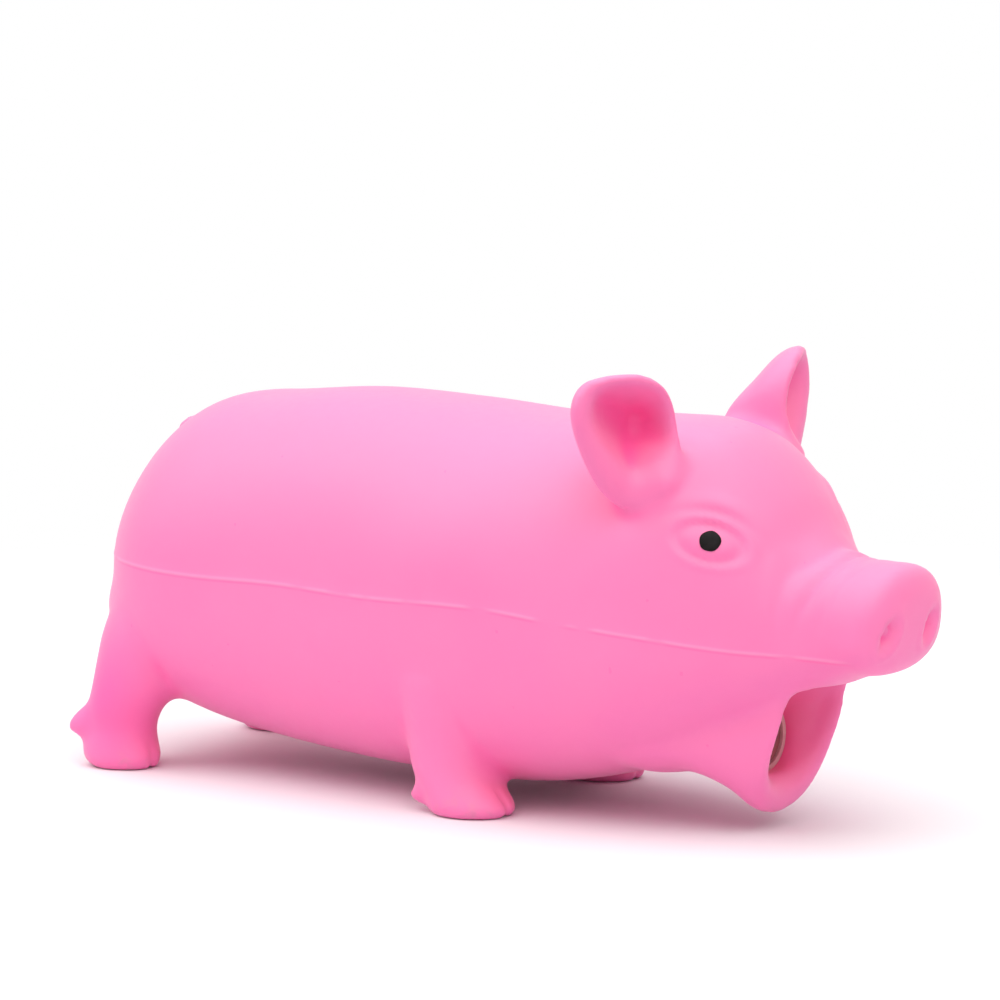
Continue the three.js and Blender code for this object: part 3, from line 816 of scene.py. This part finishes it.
def skin_arrays(skin):
    """The finished skin with its relief: points, quads, normals and tones."""
    trunk = hollowed(skinned(trunk_rows()), skinned(mouth_rows()))
    surfaces = [trunk, skinned(jaw_rows()), skinned(tail_rows())]
    for name, side in SIDES.items():
        surfaces.append(skinned(ear_rows(name)))
        for kind in FEET:
            surfaces += [skinned(leg_rows(kind, side)), skinned(dewclaw_rows(kind, side))]
    verts, quads, edges = fused(surfaces, skin.voxel)
    fold = np.clip((creases(verts, quads, edges) - FOLD_LEAST) / FOLD_RANGE, 0, 1)
    verts = relaxed(verts, edges, edge_weights(verts), skin.edge_rounds)
    wide, narrow, ear_root = join_weights(verts, quads, edges, fold, skin)
    verts = relaxed(verts, edges, wide, skin.fillet_rounds)
    verts = relaxed(verts, edges, narrow, skin.fillet_rounds // 5)
    verts = relaxed(verts, edges, ear_root, skin.fillet_rounds)
    verts = relaxed(verts, edges, np.ones(len(verts)), EVEN_ROUNDS)
    normals = vertex_normals(verts, quads)
    details = snout_detail, foot_detail, seam_detail, ear_detail, shoulder_detail
    relief = sum(detail(verts) for detail in details)
    for side in SIDES.values():
        relief += eye_detail(verts, normals, EYE * (1, side, 1))
    verts = verts + relief[:, None] * normals
    verts = relaxed(verts, edges, np.full(len(verts), RELIEF_SOFTENING), 1)
    normals = vertex_normals(verts, quads)
    return verts, quads, normals, skin_tones(verts, edges, normals)


def rim_of(faces):
    """Directed edges that only one of the faces has, as pairs of points."""
    ends = np.stack((faces, np.roll(faces, -1, axis=1)), axis=-1).reshape(-1, 2)
    size = faces.max() + 1
    return ends[~np.isin(ends[:, 0] * size + ends[:, 1], ends[:, 1] * size + ends[:, 0])]


def flattened(verts, normals, rim, root, normal):
    """Vertices with those of a rim slid along the skin onto the plane through root."""
    verts = verts.copy()
    rim = np.unique(rim)
    slide = normal - (normals[rim] @ normal)[:, None] * normals[rim]
    slide /= np.linalg.norm(slide, axis=1, keepdims=True)
    far = (verts[rim] - root) @ normal
    step = np.clip(far / np.maximum(slide @ normal, CUT_SLOPE), -CUT_SLIDE, CUT_SLIDE)
    verts[rim] -= step[:, None] * slide
    return verts


def piece_from(name, chosen, verts, quads, normals, tones):
    """A closed mesh object from the chosen quads of the skin, each open rim shut by one face."""
    used = np.unique(quads[chosen])
    place = np.full(len(verts), -1)
    place[used] = np.arange(len(used))
    faces = place[quads[chosen]]
    after = {b: a for a, b in rim_of(faces).tolist()}
    caps = []
    while after:
        start, following = after.popitem()
        cap = [start]
        while following != start:
            cap.append(following)
            following = after.pop(following)
        caps.append(cap)
    obj = new_object(name, verts[used], faces.tolist() + caps)
    for tone, values in tones.items():
        attribute = obj.data.attributes.new(tone, "FLOAT", "POINT")
        attribute.data.foreach_set("value", values[used].astype(np.float32))
    obj.data.shade_smooth()
    obj.data.normals_split_custom_set_from_vertices(normals[used].tolist())
    return obj


class Wire:
    """A shader socket: arithmetic on it adds Math nodes, and node() adds any other node."""

    def __init__(self, tree, socket):
        self.tree = tree
        self.socket = socket

    def node(self, kind, inputs, output=0, **settings):
        """A new node with these inputs, as a wire from its output."""
        made = self.tree.nodes.new(kind)
        for key, value in settings.items():
            setattr(made, key, value)
        for key, value in inputs.items():
            if isinstance(value, Wire):
                self.tree.links.new(value.socket, made.inputs[key])
            else:
                made.inputs[key].default_value = value
        return Wire(self.tree, made.outputs[output])

    def math(self, operation, *values):
        """A new Math node."""
        return self.node("ShaderNodeMath", dict(enumerate(values)), operation=operation)

    def __add__(self, other):
        return self.math("ADD", self, other)

    def __radd__(self, other):
        return self.math("ADD", other, self)

    def __sub__(self, other):
        return self.math("SUBTRACT", self, other)

    def __rsub__(self, other):
        return self.math("SUBTRACT", other, self)

    def __mul__(self, other):
        return self.math("MULTIPLY", self, other)

    def __truediv__(self, other):
        return self.math("DIVIDE", self, other)

    def tone(self, name):
        """A value that the mesh carries at its points."""
        return self.node("ShaderNodeAttribute", {}, output="Fac", attribute_name=name)

    def step(self, low, high, to_low=0.0, to_high=1.0):
        """A smooth rise from to_low at low to to_high at high."""
        ends = {"Value": self, "From Min": low, "From Max": high, "To Min": to_low, "To Max": to_high}
        return self.node("ShaderNodeMapRange", ends, interpolation_type="SMOOTHSTEP")

    def bell(self, width):
        """1 where this value is 0, falling to 0 over a few widths."""
        share = self / width
        return self.math("EXPONENT", share * share * -1.0)

    def noise(self, scale, detail=2.0, rough=0.5):
        """Noise over this position, about 0 to 1."""
        sizes = {"Vector": self, "Scale": scale, "Detail": detail, "Roughness": rough}
        return self.node("ShaderNodeTexNoise", sizes)

    def mixed(self, colour_a, colour_b):
        """Colour a where this factor is 0, colour b where it is 1."""
        return self.node("ShaderNodeMix", {0: self, 6: colour_a, 7: colour_b}, output=2, data_type="RGBA")


def new_material(name, roughness, **constants):
    """A material with a Principled BSDF; returns it, its shader and the object position as a Wire."""
    material = bpy.data.materials.new(name)
    material.use_nodes = True
    tree = material.node_tree
    shader = tree.nodes["Principled BSDF"]
    shader.inputs["Roughness"].default_value = roughness
    for key, value in constants.items():
        shader.inputs[key.replace("_", " ")].default_value = value
    place = tree.nodes.new("ShaderNodeTexCoord")
    return material, shader, Wire(tree, place.outputs["Object"])


def feed(shader, name, wire):
    """Links a wire to one of the shader's inputs."""
    wire.tree.links.new(wire.socket, shader.inputs[name])


def rubber_material(rubber):
    """Matte pink rubber: soft blotches, painted shade on the underside, the hocks, the hollows and inside
    the mouth, a thin broken seam with a painted highlight and painted shadow, specks and smudges.
    """
    material, shader, place = new_material(
        "pink_rubber", rubber.roughness, Sheen_Weight=0.15, Sheen_Roughness=0.4
    )
    x = place.node("ShaderNodeSeparateXYZ", {0: place}, output="X")
    z = place.node("ShaderNodeSeparateXYZ", {0: place}, output="Z")
    # Colour of the painted shade, also used for the specks.
    deep = (*rubber.shade_and_speck_colour, 1.0)
    blotch = place.noise(38.0, 3.0, 0.55).step(0.3, 0.7)
    fine = place.noise(420.0, 4.0, 0.6)
    # Painted shade: faces turned down are mixed towards a darker, bluer underside colour, as if less lit.
    skin = place.tone("up").step(-0.7, 1.0).mixed((*rubber.shaded_under_colour, 1.0), (*rubber.colour, 1.0))
    skin = (blotch * 0.3).mixed(skin, (*rubber.blotch_colour, 1.0))
    # Painted shade round the hocks, under the body's overhang.
    hock_shade = (x - HOCK_SHADE[0] * MM).bell(HOCK_SHADE_REACH[0] * MM) * (z - HOCK_SHADE[1] * MM).bell(HOCK_SHADE_REACH[1] * MM)
    skin = (hock_shade * 0.75).mixed(skin, deep)
    # Painted shade in folds and hollows, deeper where the skin is more hollow.
    skin = place.tone("hollow").step(0.08, 1.3).mixed(skin, deep)
    # Painted shade deep inside the mouth.
    skin = place.tone("mouth_shade").mixed(skin, (*rubber.mouth_shade_colour, 1.0))
    seam = z - SEAM_LINE * MM + x.step(SEAM_LEAVES * MM, SEAM_ENDS * MM, 0.0, SEAM_FALL * MM)
    seam = seam - x.math("SINE", x * (SEAM_WAVES / MM)) * (SEAM_WOBBLE * MM)
    body = x.step(SEAM_FADE[0] * MM, SEAM_FADE[1] * MM, 1.0, 0.0)
    broken = place.noise(70.0, 2.0, 0.6).step(0.34, 0.5) * body
    # Painted highlight along the seam's ridge; the same line also raises the bump.
    line = seam.bell(SEAM_HIGHLIGHT * MM) * broken
    skin = (line * 0.5).mixed(skin, (*rubber.seam_highlight_colour, 1.0))
    # Painted shadow just below the seam's ridge.
    shade = (seam + SEAM_SHADE_BELOW * MM).bell(SEAM_SHADE * MM)
    skin = (shade * broken * 0.4).mixed(skin, deep)
    speck = place.noise(520.0, 0.0, 0.0).step(0.86, 0.89)
    skin = (speck * 0.3).mixed(skin, deep)
    sole = z.step(0.001, 0.009, 1.0, 0.0) * place.noise(160.0, 3.0, 0.65).step(0.52, 0.72)
    skin = (sole * 0.3).mixed(skin, (0.45, 0.25, 0.30, 1.0))
    feed(shader, "Base Color", skin)
    feed(shader, "Roughness", rubber.roughness + (fine - 0.5) * 0.16 + (blotch - 0.5) * 0.06)
    relief = fine * 0.00006 + line * 0.00012
    bump = {"Height": relief, "Strength": 0.6, "Distance": 1.0}
    feed(shader, "Normal", place.node("ShaderNodeBump", bump, output="Normal"))
    return material


def clouded_material(name, light, dark, cloud, gloss, **constants):
    """A finish clouded between two colours, with slightly uneven gloss between two roughnesses."""
    material, shader, place = new_material(name, gloss[1], **constants)
    tint = place.noise(*cloud).step(0.3, 0.7)
    feed(shader, "Base Color", tint.mixed((*light, 1.0), (*dark, 1.0)))
    feed(shader, "Roughness", place.noise(gloss[0]).step(0.2, 0.8, *gloss[1:]))
    return material


def brass_material():
    """Thin brass with faint tarnish."""
    material, shader, place = new_material("reed_brass", 0.32, Metallic=1.0)
    tarnish = place.noise(300.0, 3.0).step(0.4, 0.75)
    feed(shader, "Base Color", tarnish.mixed((0.78, 0.56, 0.24, 1.0), (0.48, 0.32, 0.14, 1.0)))
    feed(shader, "Roughness", tarnish * 0.2 + 0.28)
    return material


def add_floor():
    """A floor that keeps the soft shadow and fades out round the pig."""
    corners = np.array([(-1, -1, 0), (1, -1, 0), (1, 1, 0), (-1, 1, 0)]) * FLOOR_REACH / MM
    floor = new_object("floor", corners, [(0, 1, 2, 3)])
    material, shader, place = new_material("floor", 0.9)
    cloud = place.noise(3.0).step(0.2, 0.8)
    feed(shader, "Base Color", cloud.mixed((0.79, 0.79, 0.79, 1), (0.81, 0.81, 0.81, 1)))
    away = place.node("ShaderNodeVectorMath", {0: place}, output="Value", operation="LENGTH")
    feed(shader, "Alpha", away.step(*FLOOR_FADE, 1.0, 0.0))
    floor.data.materials.append(material)


def add_world(scene, studio):
    """White to the camera, mirrors and glass; soft light, weaker from the sides, to all else."""
    world = bpy.data.worlds.new("studio")
    scene.world = world
    world.use_nodes = True
    tree = world.node_tree
    shown = tree.nodes["Background"]
    rays = tree.nodes.new("ShaderNodeLightPath").outputs
    straight, mirrored, through_glass = (
        Wire(tree, rays[f"Is {kind} Ray"]) for kind in ("Camera", "Glossy", "Transmission")
    )
    seen = straight.math("MAXIMUM", straight.math("MAXIMUM", straight, mirrored), through_glass)
    way = Wire(tree, tree.nodes.new("ShaderNodeTexCoord").outputs["Object"])
    height = way.node("ShaderNodeSeparateXYZ", {0: way}, output="Z")
    soft = height.step(*SKY_HEIGHT, studio.horizon, studio.ambient)
    tree.links.new((seen + (1 - seen) * soft).socket, shown.inputs["Strength"])
    shown.inputs["Color"].default_value = (1, 1, 1, 1)


def add_lamps(scene, studio):
    """Softboxes aimed at the pig."""
    for name, (spot, size, share) in LAMPS.items():
        light = bpy.data.lights.new(name, "AREA")
        light.size, light.energy = size, studio.overhead * share
        lamp = bpy.data.objects.new(name, light)
        lamp.location = spot
        lamp.rotation_euler = (Vector(spot) - Vector(LAMP_AIM)).to_track_quat("Z", "Y").to_euler()
        scene.collection.objects.link(lamp)


def add_camera(scene, studio):
    """The camera, by its turn about the pig, its height, its distance and its lens."""
    turn, lift = np.radians(studio.azimuth), np.radians(studio.elevation)
    back = Vector((np.sin(turn) * np.cos(lift), -np.cos(turn) * np.cos(lift), np.sin(lift)))
    lens = bpy.data.cameras.new("camera")
    lens.lens, lens.sensor_width = studio.lens, SENSOR_WIDTH
    lens.shift_x, lens.shift_y = studio.shift
    lens.clip_start, lens.clip_end = CLIP
    camera = bpy.data.objects.new("camera", lens)
    camera.location = Vector(studio.aim) + back * studio.distance
    camera.rotation_euler = back.to_track_quat("Z", "Y").to_euler()
    scene.collection.objects.link(camera)
    scene.camera = camera


def length_of(name, description, default):
    """A setting in metres."""
    return FloatProperty(name=name, description=description, default=default, unit="LENGTH", precision=5)


def place_of(name, description, default):
    """A setting for a point in metres."""
    return FloatVectorProperty(name=name, description=description, default=default, subtype="XYZ_LENGTH")


def colour_of(name, description, default):
    """A setting for a colour."""
    return FloatVectorProperty(name=name, description=description, default=default, subtype="COLOR")


def count_of(name, description, default):
    """A setting that is counted."""
    return IntProperty(name=name, description=description, default=default)


def value_of(name, description, default):
    """A setting without a unit."""
    return FloatProperty(name=name, description=description, default=default)


class PIG_PG_skin(bpy.types.PropertyGroup):
    """Sizes of the rubber skin."""

    voxel: length_of("Voxel", "Grain of the fused skin", 0.00095)
    fillet_reach: count_of("Fillet reach", "Rings of skin a rounded join spreads over", 11)
    edge_rounds: count_of("Edge rounds", "How long the ears' and lip's edges are rounded", 10)
    fillet_rounds: count_of("Fillet rounds", "How long a join is rounded", 105)
    ear_cut: length_of("Ear cut", "Height above its root where an ear starts", 0.0025)
    ear_still: length_of("Ear still", "Length above the cut that stays with the head", 0.001)
    ear_bend: length_of("Ear bend", "Length over which an ear bends", 0.010)
    press_start: place_of(
        "Press start", "Where the skin starts to follow the pressed back", (-0.0310, 0.0, 0.0583)
    )
    press_end: place_of(
        "Press end", "Where the skin follows the pressed back fully", (-0.0497, 0.0, 0.0936)
    )


class PIG_PG_rubber(bpy.types.PropertyGroup):
    """Finish of the rubber."""

    colour: colour_of("Rubber", "Colour of the rubber that faces up", (0.96, 0.208, 0.408))
    # Painted shade: the darker colour given to faces turned down.
    shaded_under_colour: colour_of("Underside", "Colour of the rubber that faces down", (0.90, 0.170, 0.445))
    blotch_colour: colour_of("Blotches", "Colour of the soft blotches", (0.96, 0.220, 0.455))
    # Painted shade colour for hollows, hocks and below the seam; the specks use it too.
    shade_and_speck_colour: colour_of("Hollows", "Colour in folds and hollows", (0.97, 0.085, 0.35))
    # Painted shade colour deep inside the mouth.
    mouth_shade_colour: colour_of("Mouth", "Colour deep inside the mouth", (0.80, 0.075, 0.24))
    # Painted highlight colour along the seam.
    seam_highlight_colour: colour_of("Seam", "Colour of the mould seam", (0.97, 0.33, 0.56))
    roughness: value_of("Roughness", "Roughness of the rubber", 0.5)


class PIG_PG_eye(bpy.types.PropertyGroup):
    """Sizes of the painted eyes."""

    radius: length_of("Radius", "Radius of an eye", 0.0024)
    rise: length_of("Rise", "Height of the paint's dome", 0.0006)


class PIG_PG_studio(bpy.types.PropertyGroup):
    """Camera and light."""

    azimuth: value_of("Azimuth", "Camera's turn about the pig in degrees", 35.6)
    elevation: value_of("Elevation", "Camera's height above the horizon in degrees", 9.2)
    distance: length_of("Distance", "Camera to the aim", 1.15)
    aim: place_of("Aim", "Point the camera looks at", (-0.0012, 0.0, 0.0502))
    lens: value_of("Lens", "Focal length in millimetres on a 36 mm sensor", 174.1)
    shift: FloatVectorProperty(name="Shift", description="Framing shift", default=(-0.005, 0.082), size=2)
    ambient: value_of("Ambient", "Strength of the studio's light from above", 0.95)
    horizon: value_of("Horizon", "Strength of the studio's light from the sides", 0.275)
    overhead: value_of("Overhead", "Power of the overhead softbox in watts", 8.0)


class PIG_OT_skin(bpy.types.Operator):
    """Builds the rubber skin and the two ears from one fused surface"""

    bl_idname = "pig.skin"
    bl_label = "Skin and ears"

    def execute(self, context):
        skin = context.scene.pig_skin
        verts, quads, normals, tones = skin_arrays(skin)
        middle = verts[quads].mean(axis=1)
        material = rubber_material(context.scene.pig_rubber)
        body_quads = np.ones(len(quads), dtype=bool)
        for name, side in SIDES.items():
            normal = EAR_CUT_NORMAL * (1, side, 1)
            root = EAR_ROOT * (1, side, 1) + normal * skin.ear_cut / MM
            outer = (middle[:, 1] * side > EAR_CUT_INNER) & (middle[:, 0] > EAR_CUT_REAR)
            chosen = ((middle - root) @ normal > 0) & outer
            verts = flattened(verts, normals, rim_of(quads[chosen]), root, normal)
            body_quads &= ~chosen
            ear = piece_from(f"rubber_ear_{name}", chosen, verts, quads, normals, tones)
            ear.data.materials.append(material)
            start = root * MM + normal * skin.ear_still
            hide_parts(f"ear_{name}")
            (start + normal * skin.ear_bend).tolist()
            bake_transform(ear)
        body = piece_from("rubber_skin", body_quads, verts, quads, normals, tones)
        body.data.materials.append(material)
        legs = [f"leg_{end}_{side}" for end in ("front", "rear") for side in SIDES]
        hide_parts("torso_back", "lower_skin", "head_skin", "snout", "lower_jaw", "tail", *legs)
        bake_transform(body)
        return {"FINISHED"}


class PIG_OT_eyes(bpy.types.Operator):
    """Paints the two eyes as domed discs on the skin"""

    bl_idname = "pig.eyes"
    bl_label = "Eyes"

    def execute(self, context):
        eye = context.scene.pig_eye
        body = bpy.data.objects["rubber_skin"]
        material = clouded_material(
            "black_paint", (0.003, 0.002, 0.002), (0.008, 0.005, 0.006), (600.0,), (900.0, 0.38, 0.55),
            Specular_IOR_Level=0.15,
        )
        ring = np.linspace(PAINT_START, 1, 16)[:, None]
        angle = np.linspace(0, 2 * np.pi, 48, endpoint=False)[None]
        uneven = 1 + 0.03 * np.sin(2 * angle + 0.6) + 0.02 * np.sin(5 * angle)
        for name, side in SIDES.items():
            _, spot, normal, _ = body.closest_point_on_mesh(Vector(EYE * (1, side, 1) * MM))
            out = np.array(normal)
            ahead, up = plane_of(out)
            reach = eye.radius / MM * ring * uneven
            dome = eye.rise / MM * (np.sqrt(1 - (PAINT_DOME * ring) ** 2) + 0 * angle) - PAINT_SINK
            along, across = (reach * np.cos(angle))[..., None], (reach * np.sin(angle))[..., None]
            flat = np.array(spot) / MM + along * ahead + across * up
            front = flat + dome[..., None] * out
            back = flat[::-1] - PAINT_BACK * out
            disc = new_object(f"painted_eye_{name}", *skinned(np.concatenate((front, back))))
            outward_mesh(disc)
            disc.data.shade_smooth()
            disc.data.materials.append(material)
            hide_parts(f"eye_{name}")
            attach(disc, "belly")
        return {"FINISHED"}


class PIG_OT_grunter(bpy.types.Operator):
    """Gives the grunter's pieces their finishes"""

    bl_idname = "pig.grunter"
    bl_label = "Grunter"

    def execute(self, context):
        pale = clouded_material(
            "pale_plastic", (0.62, 0.34, 0.35), (0.54, 0.27, 0.29), (180.0, 3.0), (700.0, 0.36, 0.50)
        )
        brown = clouded_material(
            "brown_plastic", (0.26, 0.07, 0.07), (0.20, 0.05, 0.06), (180.0, 3.0), (700.0, 0.44, 0.58)
        )
        brass = brass_material()
        finishes = {
            "grunter_barrel": pale, "grunter_face": brown, "grunter_cap": pale,
            "reed_tube": pale, "reed_collar": pale, "reed": brass,
        }
        for name, finish in finishes.items():
            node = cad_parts[name]
            node.data.materials.clear()
            node.data.materials.append(finish)
        return {"FINISHED"}


class PIG_OT_stage(bpy.types.Operator):
    """Sets the white studio: floor, soft light and camera"""

    bl_idname = "pig.stage"
    bl_label = "Studio"

    def execute(self, context):
        scene = context.scene
        scene.view_settings.view_transform = "Standard"
        add_floor()
        add_world(scene, scene.pig_studio)
        add_lamps(scene, scene.pig_studio)
        add_camera(scene, scene.pig_studio)
        return {"FINISHED"}


class PIG_PT_panel(bpy.types.Panel):
    """The pig's steps and sizes"""

    bl_label = "Squeaky pig"
    bl_idname = "PIG_PT_panel"
    bl_space_type = "VIEW_3D"
    bl_region_type = "UI"
    bl_category = "Squeaky pig"

    def draw(self, context):
        for group, operator in GROUPS.items():
            box = self.layout.box()
            if operator:
                box.operator(operator)
            settings = getattr(context.scene, group)
            for key in settings.__annotations__:
                box.prop(settings, key)
        self.layout.operator("pig.grunter")


GROUPS = {"pig_skin": "pig.skin", "pig_rubber": None, "pig_eye": "pig.eyes", "pig_studio": "pig.stage"}
KINDS = {
    "pig_skin": PIG_PG_skin,
    "pig_rubber": PIG_PG_rubber,
    "pig_eye": PIG_PG_eye,
    "pig_studio": PIG_PG_studio,
}
CLASSES = (*KINDS.values(), PIG_OT_skin, PIG_OT_eyes, PIG_OT_grunter, PIG_OT_stage, PIG_PT_panel)


def register():
    """Makes the classes and their settings known."""
    for kind in CLASSES:
        bpy.utils.register_class(kind)
    for name, kind in KINDS.items():
        setattr(bpy.types.Scene, name, PointerProperty(type=kind))


def unregister():
    """Takes the settings and the classes away again."""
    for name in KINDS:
        delattr(bpy.types.Scene, name)
    for kind in reversed(CLASSES):
        bpy.utils.unregister_class(kind)


def main():
    """Builds the pig and its studio."""
    register()
    bpy.ops.pig.skin()
    bpy.ops.pig.eyes()
    bpy.ops.pig.grunter()
    bpy.ops.pig.stage()


if __name__ == "__main__":
    main()
